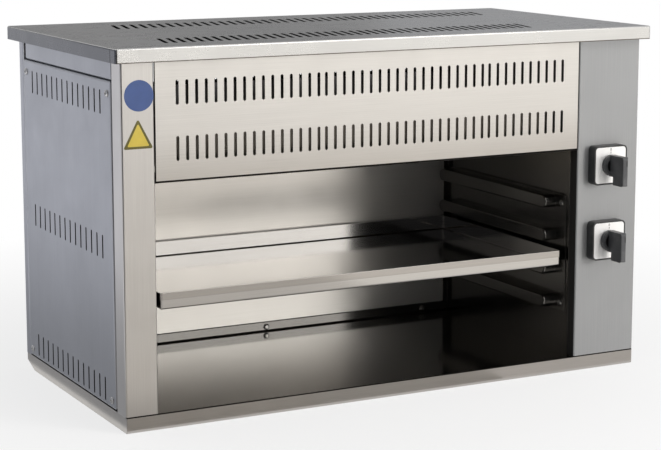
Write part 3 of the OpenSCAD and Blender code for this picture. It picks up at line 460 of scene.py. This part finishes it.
def piece(name, mesh_maker, material, body):
    """A new mesh piece that rides on a body and takes its finish from a slot."""
    mesh = bpy.data.meshes.new(name)
    bm = bmesh.new()
    mesh_maker(bm)
    bmesh.ops.recalc_face_normals(bm, faces=bm.faces)
    bm.to_mesh(mesh)
    bm.free()
    obj = bpy.data.objects.new(name, mesh)
    bpy.context.scene.collection.objects.link(obj)
    mesh.materials.append(material)
    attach(obj, body)
    return obj


def ring(bm, count, place):
    """Loop of vertices at equal angles. place gives the point at an angle."""
    return [bm.verts.new(place(2 * math.pi * i / count)) for i in range(count)]


def skin(bm, a, b, smooth=False):
    """Faces between two loops of the same length."""
    for i in range(len(a)):
        j = (i + 1) % len(a)
        bm.faces.new((a[i], a[j], b[j], b[i])).smooth = smooth


def solid(bm, loops):
    """Closed form through a row of loops, with flat ends."""
    for a, b in zip(loops, loops[1:]):
        skin(bm, a, b)
    bm.faces.new(loops[-1])
    bm.faces.new(loops[0][::-1])


# ---- signs ----

DISC_STEPS, CORNER_STEPS = 96, 6

BLUE = printed("label_blue", (0.033, 0.070, 0.215))
YELLOW = printed("label_yellow", (0.55, 0.42, 0.055))
OLIVE = printed("label_border", (0.10, 0.085, 0.012))
INK = printed("dial_ink", (0.06, 0.06, 0.065), rough=0.4)

SIGN_X, SIGN_Z, SIGN_R, SIGN_T, SIGN_RIM = 21.0, 373.0, 17.0, 0.16, 0.05
# Left, right, lower and upper end of the triangle, and how far its field lies inside them
TRIANGLE, FIELD_INSET = (2.0, 36.9, 315.4, 348.2), (4.6, -4.6, 2.7, -5.2)
FIELD = tuple(end + inset for end, inset in zip(TRIANGLE, FIELD_INSET))
BORDER_R, BORDER_T, BORDER_RIM = 1.6, 0.14, 0.04
FIELD_R, FIELD_T, FIELD_RIM = 1.0, 0.05, 0.02


def disc(bm, centre, radius, thickness, rim):
    """Thin round label on a face that looks to the front, with a soft rim."""
    loops = []
    for r, h in ((radius, 0.0), (radius, thickness - rim), (radius - rim, thickness)):
        loops.append(ring(bm, DISC_STEPS, lambda a: (
            centre.x + r * math.cos(a), centre.y - h, centre.z + r * math.sin(a))))
    solid(bm, loops)


def rounded_triangle(left, right, low, high, radius):
    """Outline of an upright triangle with round corners."""
    corners = [Vector((left, low)), Vector((right, low)), Vector(((left + right) / 2, high))]
    points = []
    for i, corner in enumerate(corners):
        to_last = (corners[i - 1] - corner).normalized()
        to_next = (corners[(i + 1) % 3] - corner).normalized()
        half = to_last.angle(to_next) / 2
        centre = corner + (to_last + to_next).normalized() * (radius / math.sin(half))
        start = corner + to_last * (radius / math.tan(half)) - centre
        sweep = math.pi - 2 * half
        for k in range(CORNER_STEPS + 1):
            points.append(centre + Matrix.Rotation(sweep * k / CORNER_STEPS, 2) @ start)
    return points


def prism(bm, outline, y, thickness, rim):
    """Thin label with a straight-sided outline, slightly narrower at its front."""
    centre = sum(outline, Vector((0, 0))) / len(outline)
    loops = []
    for shrink, h in ((0.0, 0.0), (0.0, thickness - rim), (rim, thickness)):
        loop = []
        for p in outline:
            p = p + (centre - p).normalized() * shrink
            loop.append(bm.verts.new(at(p.x, y - h, p.y)))
        loops.append(loop)
    solid(bm, loops)


piece("label_round",
      lambda bm: disc(bm, at(SIGN_X, 0, SIGN_Z), SIGN_R * MM, SIGN_T * MM, SIGN_RIM * MM),
      BLUE, "body")
piece("label_triangle_border",
      lambda bm: prism(bm, rounded_triangle(*TRIANGLE, BORDER_R), 0.0, BORDER_T, BORDER_RIM),
      OLIVE, "body")
piece("label_triangle_field",
      lambda bm: prism(bm, rounded_triangle(*FIELD, FIELD_R), -BORDER_T, FIELD_T, FIELD_RIM),
      YELLOW, "body")

# ---- lid ----

SLOT_W, SLOT_L, SLOT_SLANT, SLOTS, SLOT_END_STEPS = 5.0, 60.0, math.radians(13.0), 44, 8
# Centres of the first and the last slot along X, and of the row along Y
SLOT_ROWS = ((76.0, 551.0, 65.0), (101.0, 612.0, 272.0))


def lid_loop(bm, inset, z):
    """Loop of vertices round the lid, inset from its edge."""
    x0, x1, y0, y1 = LID_X[0] + inset, LID_X[1] - inset, LID_Y[0] + inset, LID_Y[1] - inset
    r = LID_CORNER - inset
    corners = ((x1 - r, y1 - r), (x0 + r, y1 - r), (x0 + r, y0 + r), (x1 - r, y0 + r))
    loop = []
    for quarter, (x, y) in enumerate(corners):
        for i in range(CORNER_STEPS + 1):
            a = (quarter + i / CORNER_STEPS) * math.pi / 2
            loop.append(bm.verts.new(at(x + r * math.cos(a), y + r * math.sin(a), z)))
    return loop


def slanted_slot(bm, x, y, z):
    """Loop of vertices of one slot with round ends, whose front end leans to the left."""
    along = Vector((math.sin(SLOT_SLANT), math.cos(SLOT_SLANT)))
    across = Vector((math.cos(SLOT_SLANT), -math.sin(SLOT_SLANT)))
    r = SLOT_W / 2
    loop = []
    for end in (1, -1):
        middle = Vector((x, y)) + along * (end * (SLOT_L / 2 - r))
        for i in range(SLOT_END_STEPS + 1):
            a = math.pi * i / SLOT_END_STEPS
            p = middle + across * (end * r * math.cos(a)) + along * (end * r * math.sin(a))
            loop.append(bm.verts.new(at(p.x, p.y, z)))
    return loop


def lid(bm):
    """Folded sheet with four lips and two rows of slanted slots."""
    shells = []
    for t in (0.0, LID_T):
        r = LID_R - t
        loops = [lid_loop(bm, t, LIP_Z), lid_loop(bm, t, BODY_H - LID_R)]
        for i in range(1, CORNER_STEPS + 1):
            a = math.pi / 2 * i / CORNER_STEPS
            loops.append(lid_loop(bm, LID_R - r * math.cos(a), BODY_H - LID_R + r * math.sin(a)))
        for k, (low, high) in enumerate(zip(loops, loops[1:])):
            skin(bm, low, high, smooth=k > 0)
        slots = [slanted_slot(bm, x0 + (x1 - x0) * i / (SLOTS - 1), y, BODY_H - t)
                 for x0, x1, y in SLOT_ROWS for i in range(SLOTS)]
        shells.append((loops, slots))
    skin(bm, shells[0][0][0], shells[1][0][0])
    for top, under in zip(shells[0][1], shells[1][1]):
        skin(bm, top, under)
    for loops, slots in shells:
        edges = [bm.edges.get((rim[i], rim[(i + 1) % len(rim)]))
                 for rim in [loops[-1]] + slots for i in range(len(rim))]
        bmesh.ops.triangle_fill(bm, use_beauty=True, use_dissolve=False, edges=edges)


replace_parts(piece("lid_sheet", lid, LID, "body"), "top_cover")

# Upright plate on the reflector's roof, between the hood and the control column
SHIELD_LOW, SHIELD_HIGH = at(590.7, 26.0, 346.2), at(591.7, 316.0, 419.8)


def shield(bm):
    """Plain box between the shield's two corners."""
    for v in bmesh.ops.create_cube(bm, size=1.0)["verts"]:
        v.co = [low if c < 0 else high for c, low, high in zip(v.co, SHIELD_LOW, SHIELD_HIGH)]


piece("heat_shield", shield, STAINED_AND_SHADED, "body")

# ---- screws ----

HEAD_R, HEAD_T, SHANK_R, SHANK_L = 4.0, 2.2, 2.0, 5.0
HEAD_STEPS, HEAD_RINGS, SHANK_STEPS = 48, 14, 24
# How far the dome falls from its middle to its rim, as a part of its height, and how late
DOME_FALL, DOME_POWER = 0.62, 2.4
# Half the width and the length of the recess's arms as parts of the radius, and its depth
ARM_HALF, ARM_LENGTH, RECESS_DEPTH = 0.17, 0.62, 0.6
# The heads are turned one by one, in radians, so that no two recesses stand alike
FIRST_TURN, TURN_STEP = 0.5, 1.9


def cross_screw(bm, base, out, radius, height, turn):
    """Domed head with a cross recess. base is the middle of its seat and out the way it looks."""
    side = out.orthogonal().normalized()
    other = out.cross(side)

    def point(r, a):
        x, y = r * math.cos(a + turn), r * math.sin(a + turn)
        cut = min(abs(x), abs(y)) < ARM_HALF * radius and r < ARM_LENGTH * radius
        h = height * (1 - DOME_FALL * (r / radius) ** DOME_POWER)
        h -= RECESS_DEPTH * height if cut else 0.0
        return base + side * (r * math.cos(a)) + other * (r * math.sin(a)) + out * h

    loops = []
    for k in range(1, HEAD_RINGS + 1):
        loops.append(ring(bm, HEAD_STEPS, lambda a: point(radius * k / HEAD_RINGS, a)))
    foot = ring(bm, HEAD_STEPS, lambda a: (
        base + side * (radius * math.cos(a)) + other * (radius * math.sin(a))))
    loops.append(foot)
    middle = bm.verts.new(point(0.0, 0.0))
    for i in range(HEAD_STEPS):
        j = (i + 1) % HEAD_STEPS
        bm.faces.new((middle, loops[0][i], loops[0][j]))
        for a, b in zip(loops, loops[1:]):
            bm.faces.new((a[i], b[i], b[j], a[j]))
    bm.faces.new(foot[::-1])


def shank(bm, base, way, radius, length):
    """Plain round shank with a chamfered tip."""
    side = way.orthogonal().normalized()
    other = way.cross(side)
    loops = []
    for r, h in ((radius, 0.0), (radius, length - 0.4 * radius), (radius * 0.6, length)):
        loops.append(ring(bm, SHANK_STEPS, lambda a: (
            base + way * h + side * (r * math.cos(a)) + other * (r * math.sin(a)))))
    solid(bm, loops)


def screw_piece(name, node, seats, outward):
    """Cross-recess heads with their shanks, in the place of a CAD node's plain screws.

    outward is 1 where the heads look away from the middle of the object and -1 where they
    look towards it."""
    def make(bm):
        for k, seat in enumerate(seats):
            way = Vector((outward if seat.x > 0 else -outward, 0.0, 0.0))
            turn = FIRST_TURN + TURN_STEP * k
            cross_screw(bm, seat, way, HEAD_R * MM, HEAD_T * MM, turn)
            shank(bm, seat, -way, SHANK_R * MM, SHANK_L * MM)
    obj = piece(name, make, SCREW, "body")
    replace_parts(obj, node)


PANEL_YS, PANEL_ZS = (41.0, 311.0), (28.5, 372.5)
screw_piece("side_screw_heads", "side_panel_screws",
            [at(x, y, z) for x in (0.0, BODY_W) for y in PANEL_YS for z in PANEL_ZS], 1.0)
RACK_XS, RACK_Y, RACK_ZS = (POST_W + 1.0, COLUMN_X - 1.0), 31.0, (81.0, 207.0)
screw_piece("rack_screw_heads", "rack_screws",
            [at(x, RACK_Y, z) for x in RACK_XS for z in RACK_ZS], -1.0)

# ---- dial marks ----

INK_LIFT, OVAL_STEPS = 0.03 * MM, 40
ZERO_W, DIGIT_H, ZERO_STROKE, BAR_W, TICK_L = 2.1 * MM, 3.0 * MM, 1.0 * MM, 0.8 * MM, 2.4 * MM
# How far the digits and the ticks stand from the middle of the dial
DIGIT_OUT, UPPER_TICK_OUT, RIGHT_TICK_OUT = 19.3, 15.6, 15.9


def digit_ring(bm, centre, width, height, stroke, lift):
    """Flat oval ring, a printed 0, on a plate that looks to the front."""
    inner = (width - stroke, height - stroke)
    loops = []
    for w, h, y in ((width, height, 0.0), (width, height, lift), (*inner, lift), (*inner, 0.0)):
        loops.append(ring(bm, OVAL_STEPS, lambda a: (
            centre.x + w * math.cos(a) / 2, centre.y - y, centre.z + h * math.sin(a) / 2)))
    for a, b in zip(loops, loops[1:] + loops[:1]):
        skin(bm, a, b)


def bar(bm, centre, width, height, lift):
    """Flat upright bar on a plate that looks to the front."""
    corners = [(-width / 2, -height / 2), (width / 2, -height / 2), (width / 2, height / 2),
               (-width / 2, height / 2)]
    solid(bm, [[bm.verts.new((centre.x + x, centre.y - y, centre.z + z)) for x, z in corners]
               for y in (0.0, lift)])


def dial_marks(name, z):
    """Printed 0 at the top and 1 at the right, each with a short tick."""
    def make(bm):
        zero = at(SWITCH_X, PLATE_Y, z + DIGIT_OUT)
        digit_ring(bm, zero, ZERO_W, DIGIT_H, ZERO_STROKE, INK_LIFT)
        bar(bm, at(SWITCH_X, PLATE_Y, z + UPPER_TICK_OUT), BAR_W, TICK_L, INK_LIFT)
        bar(bm, at(SWITCH_X + DIGIT_OUT, PLATE_Y, z), BAR_W, DIGIT_H, INK_LIFT)
        bar(bm, at(SWITCH_X + RIGHT_TICK_OUT, PLATE_Y, z), TICK_L, BAR_W, INK_LIFT)
    piece(name, make, INK, "body")


for name, z in zip(("upper_dial_marks", "lower_dial_marks"), SWITCH_ZS):
    dial_marks(name, z)

# ---- stage ----

CARD_LIFT = 0.003  # a card that lies on the floor is this far over it, in metres


def emitter_card(name, corners, colour, one_sided=False):
    """A studio card that shows in the metal's reflections but not to the camera."""
    mesh = bpy.data.meshes.new(name)
    mesh.from_pydata([Vector(c) for c in corners], [], [tuple(range(len(corners)))])
    obj = bpy.data.objects.new(name, mesh)
    bpy.context.scene.collection.objects.link(obj)
    g = Graph(name)
    light = g.add("ShaderNodeEmission")
    light.inputs["Color"].default_value = (*colour, 1.0)
    shader = light.outputs[0]
    if one_sided:
        clear = g.add("ShaderNodeBsdfTransparent")
        mixed = g.add("ShaderNodeMixShader")
        g.link(g.add("ShaderNodeNewGeometry").outputs["Backfacing"], mixed.inputs[0])
        g.link(shader, mixed.inputs[1])
        g.link(clear.outputs[0], mixed.inputs[2])
        shader = mixed.outputs[0]
    g.link(shader, g.out.inputs[0])
    mesh.materials.append(g.mat)
    obj.visible_camera = False
    obj.visible_shadow = False
    obj.visible_diffuse = False


def wall_card(name, start, end, top, colour, one_sided=False):
    """Upright card that stands on the floor between two points (x, y).

    A one-sided card shows only to the right of the way from start to end."""
    corners = [(*start, 0), (*end, 0), (*end, top), (*start, top)]
    emitter_card(name, corners, colour, one_sided)


def facing_ends(middle, width):
    """Ends of a card whose middle stands at (x, y) and which faces the object."""
    middle = Vector(middle)
    away = middle.normalized()
    side = Vector((-away.y, away.x)) * (width / 2)
    return middle - side, middle + side


def ground_card(name, xs, ys, colour):
    """Card that lies on the floor."""
    corners = [(xs[0], ys[0]), (xs[1], ys[0]), (xs[1], ys[1]), (xs[0], ys[1])]
    emitter_card(name, [(x, y, CARD_LIFT) for x, y in corners], colour)


FLOOR_SIZE, FLOOR_COLOUR, FLOOR_ROUGH, FLOOR_SPECULAR = 30.0, (0.93, 0.93, 0.93, 1.0), 0.9, 0.1
# Distances in metres between which the floor fades, and how much of it is plain white there
FADE_FROM, FADE_TO, WHITE_NEAR, WHITE_FAR = 0.35, 1.0, 0.72, 1.0


def floor():
    """Large pale floor that fades into the white surround."""
    mesh = bpy.data.meshes.new("floor")
    size = FLOOR_SIZE
    mesh.from_pydata([(-size, -size, 0), (size, -size, 0), (size, size, 0), (-size, size, 0)], [],
                     [(0, 1, 2, 3)])
    obj = bpy.data.objects.new("floor", mesh)
    bpy.context.scene.collection.objects.link(obj)
    g = Graph("floor_pale")
    g.bsdf.inputs["Base Color"].default_value = FLOOR_COLOUR
    g.bsdf.inputs["Roughness"].default_value = FLOOR_ROUGH
    g.bsdf.inputs["Specular IOR Level"].default_value = FLOOR_SPECULAR
    glow = g.add("ShaderNodeEmission")
    path = g.add("ShaderNodeLightPath")
    length = g.add("ShaderNodeVectorMath", operation="LENGTH")
    g.link(g.coords, length.inputs[0])
    far = g.remap(length.outputs["Value"], FADE_FROM, FADE_TO, WHITE_NEAR, WHITE_FAR)
    seen = g.math("MAXIMUM", path.outputs["Is Camera Ray"], path.outputs["Is Glossy Ray"])
    mixed = g.add("ShaderNodeMixShader")
    g.link(g.math("MULTIPLY", far, seen), mixed.inputs[0])
    g.link(g.bsdf.outputs[0], mixed.inputs[1])
    g.link(glow.outputs[0], mixed.inputs[2])
    g.link(mixed.outputs[0], g.out.inputs[0])
    mesh.materials.append(g.mat)


WORLD_LIGHT, WORLD_SEEN = 0.4, (0.8, 0.8, 0.8, 1.0)


def world():
    """Pale to the camera and in reflections, and a plain soft light for the rest."""
    w = bpy.data.worlds.new("studio")
    bpy.context.scene.world = w
    w.use_nodes = True
    tree = w.node_tree
    tree.nodes.clear()
    out = tree.nodes.new("ShaderNodeOutputWorld")
    path = tree.nodes.new("ShaderNodeLightPath")
    soft = tree.nodes.new("ShaderNodeBackground")
    soft.inputs["Color"].default_value = (1.0, 1.0, 1.0, 1.0)
    soft.inputs["Strength"].default_value = WORLD_LIGHT
    pale = tree.nodes.new("ShaderNodeBackground")
    pale.inputs["Color"].default_value = WORLD_SEEN
    seen = path.outputs["Is Camera Ray"]
    for ray in ("Is Glossy Ray", "Is Transmission Ray"):
        most = tree.nodes.new("ShaderNodeMath")
        most.operation = "MAXIMUM"
        tree.links.new(seen, most.inputs[0])
        tree.links.new(path.outputs[ray], most.inputs[1])
        seen = most.outputs[0]
    mixed = tree.nodes.new("ShaderNodeMixShader")
    tree.links.new(seen, mixed.inputs[0])
    tree.links.new(soft.outputs[0], mixed.inputs[1])
    tree.links.new(pale.outputs[0], mixed.inputs[2])
    tree.links.new(mixed.outputs[0], out.inputs[0])


def area_lamp(name, place, target, size, power, colour, glossy=True):
    """Soft rectangular lamp that looks at a point."""
    data = bpy.data.lights.new(name, "AREA")
    data.shape = "RECTANGLE"
    data.size, data.size_y = size
    data.energy = power
    data.color = colour
    obj = bpy.data.objects.new(name, data)
    bpy.context.scene.collection.objects.link(obj)
    obj.location = place
    obj.rotation_euler = (Vector(target) - Vector(place)).to_track_quat("-Z", "Y").to_euler()
    obj.visible_camera = False
    obj.visible_glossy = glossy


floor()
world()

# Dark blinds in front of the opening. Only the faces that look to the left mirror them.
BLIND_XS, BLIND_FAR, BLIND_NEAR, BLIND_TOP = (0.21, 0.05, -0.12, -0.30, -0.60), -3.6, -0.24, 2.6
for i, x in enumerate(BLIND_XS):
    wall_card("blind_%d" % i, (x, BLIND_FAR), (x, BLIND_NEAR), BLIND_TOP, (0.02, 0.02, 0.021),
              one_sided=True)

# The ground in front, which the cavity and the front faces mirror, and the ground at the left,
# which the left side mirrors: name, span along X, span along Y and colour
BASE_FOOT_Y = -0.1695
FRONT_GROUND = (
    ("ground_left", (-0.55, -0.1), (-0.28, BASE_FOOT_Y), (0.36, 0.34, 0.315)),
    ("ground_near_left", (-0.55, -0.1), (-0.45, -0.28), (0.60, 0.565, 0.52)),
    ("ground_near_middle", (-0.1, 0.15), (-0.45, BASE_FOOT_Y), (0.38, 0.365, 0.345)),
    ("ground_near_right", (0.15, 0.8), (-0.45, BASE_FOOT_Y), (0.66, 0.64, 0.62)),
    ("ground_middle", (-0.55, 0.25), (-1.0, -0.45), (0.64, 0.61, 0.565)),
    ("ground_bright", (0.25, 1.6), (-1.25, -0.45), (0.90, 0.86, 0.80)),
    ("ground_middle_left", (-0.55, 0.25), (-1.25, -1.0), (0.72, 0.68, 0.635)),
    ("ground_middle_right", (1.6, 3.5), (-1.25, -0.45), (0.72, 0.68, 0.635)),
    ("ground_far", (-0.55, 3.5), (-2.4, -1.25), (0.45, 0.425, 0.40)),
    ("ground_farthest", (-0.55, 3.5), (-3.6, -2.4), (0.95, 0.91, 0.86)),
)
LEFT_GROUND = (
    ("ground_left_far", (-4.0, -1.1), (-0.1, 5.0), (0.86, 0.865, 0.92)),
    ("ground_left_side", (-1.1, -0.62), (-0.1, 5.0), (0.80, 0.81, 0.86)),
    ("ground_left_near", (-0.62, -0.345), (BASE_FOOT_Y, 5.0), (0.34, 0.345, 0.36)),
)
for card in FRONT_GROUND:
    ground_card(*card)
# A bright soft box far in front, at the right
wall_card("card_soft_box", *facing_ends((1.35, -2.5), 2.2), 2.4, (1.52, 1.49, 1.43))
for card in LEFT_GROUND:
    ground_card(*card)
# Grey walls at the left and behind, which the left side and the lid mirror
wall_card("card_left", (-2.4, -0.4), (-2.4, 4.8), 3.0, (0.32, 0.33, 0.37))
wall_card("card_rear_left", (-0.6, 5.0), (2.4, 4.2), 4.0, (0.24, 0.24, 0.245))
wall_card("card_rear_right", (2.4, 4.2), (5.0, 3.4), 4.0, (0.36, 0.365, 0.38))

area_lamp("key", (1.2, -2.0, 2.2), target=(0, 0, 0.2), size=(1.6, 1.2), power=18.0,
          colour=(1.0, 0.97, 0.93))
area_lamp("low", (1.25, -1.9, 0.46), target=(0.0, 0.13, 0.15), size=(0.6, 0.3), power=33.0,
          colour=(1.0, 0.97, 0.94), glossy=False)
area_lamp("fill", (-2.2, -1.0, 1.6), target=(0, 0, 0.2), size=(1.5, 1.5), power=6.0,
          colour=(0.92, 0.96, 1.0))

# ---- camera ----

# The photograph's view: its size, the row that the camera looks at and the focal length are in
# pixels
IMAGE_W, IMAGE_H = 661.0, 450.0
CENTRE_ROW = 185.0
YAW, PITCH, ROLL = math.radians(-27.541), math.radians(9.157), math.radians(-0.015)
FOCAL = 1905.8
EYE = at(-736.3, -1896.5, 603.6)
SENSOR_W = 36.0

back = Vector((math.sin(YAW) * math.cos(PITCH), -math.cos(YAW) * math.cos(PITCH), math.sin(PITCH)))
right = Vector((math.cos(YAW), math.sin(YAW), 0.0))
up = back.cross(right)
turned_right = right * math.cos(ROLL) + up * math.sin(ROLL)
turned_up = up * math.cos(ROLL) - right * math.sin(ROLL)
camera_data = bpy.data.cameras.new("camera")
camera_data.sensor_fit = "HORIZONTAL"
camera_data.sensor_width = SENSOR_W
camera_data.lens = FOCAL * SENSOR_W / IMAGE_W
camera_data.shift_y = -(IMAGE_H / 2 - CENTRE_ROW) / IMAGE_W
camera_data.clip_start, camera_data.clip_end = 0.05, 100.0
camera = bpy.data.objects.new("camera", camera_data)
bpy.context.scene.collection.objects.link(camera)
camera.matrix_world = Matrix((
    (turned_right.x, turned_up.x, back.x, EYE.x),
    (turned_right.y, turned_up.y, back.y, EYE.y),
    (turned_right.z, turned_up.z, back.z, EYE.z),
    (0.0, 0.0, 0.0, 1.0),
))
bpy.context.scene.camera = camera
bpy.context.scene.view_settings.view_transform = "Standard"
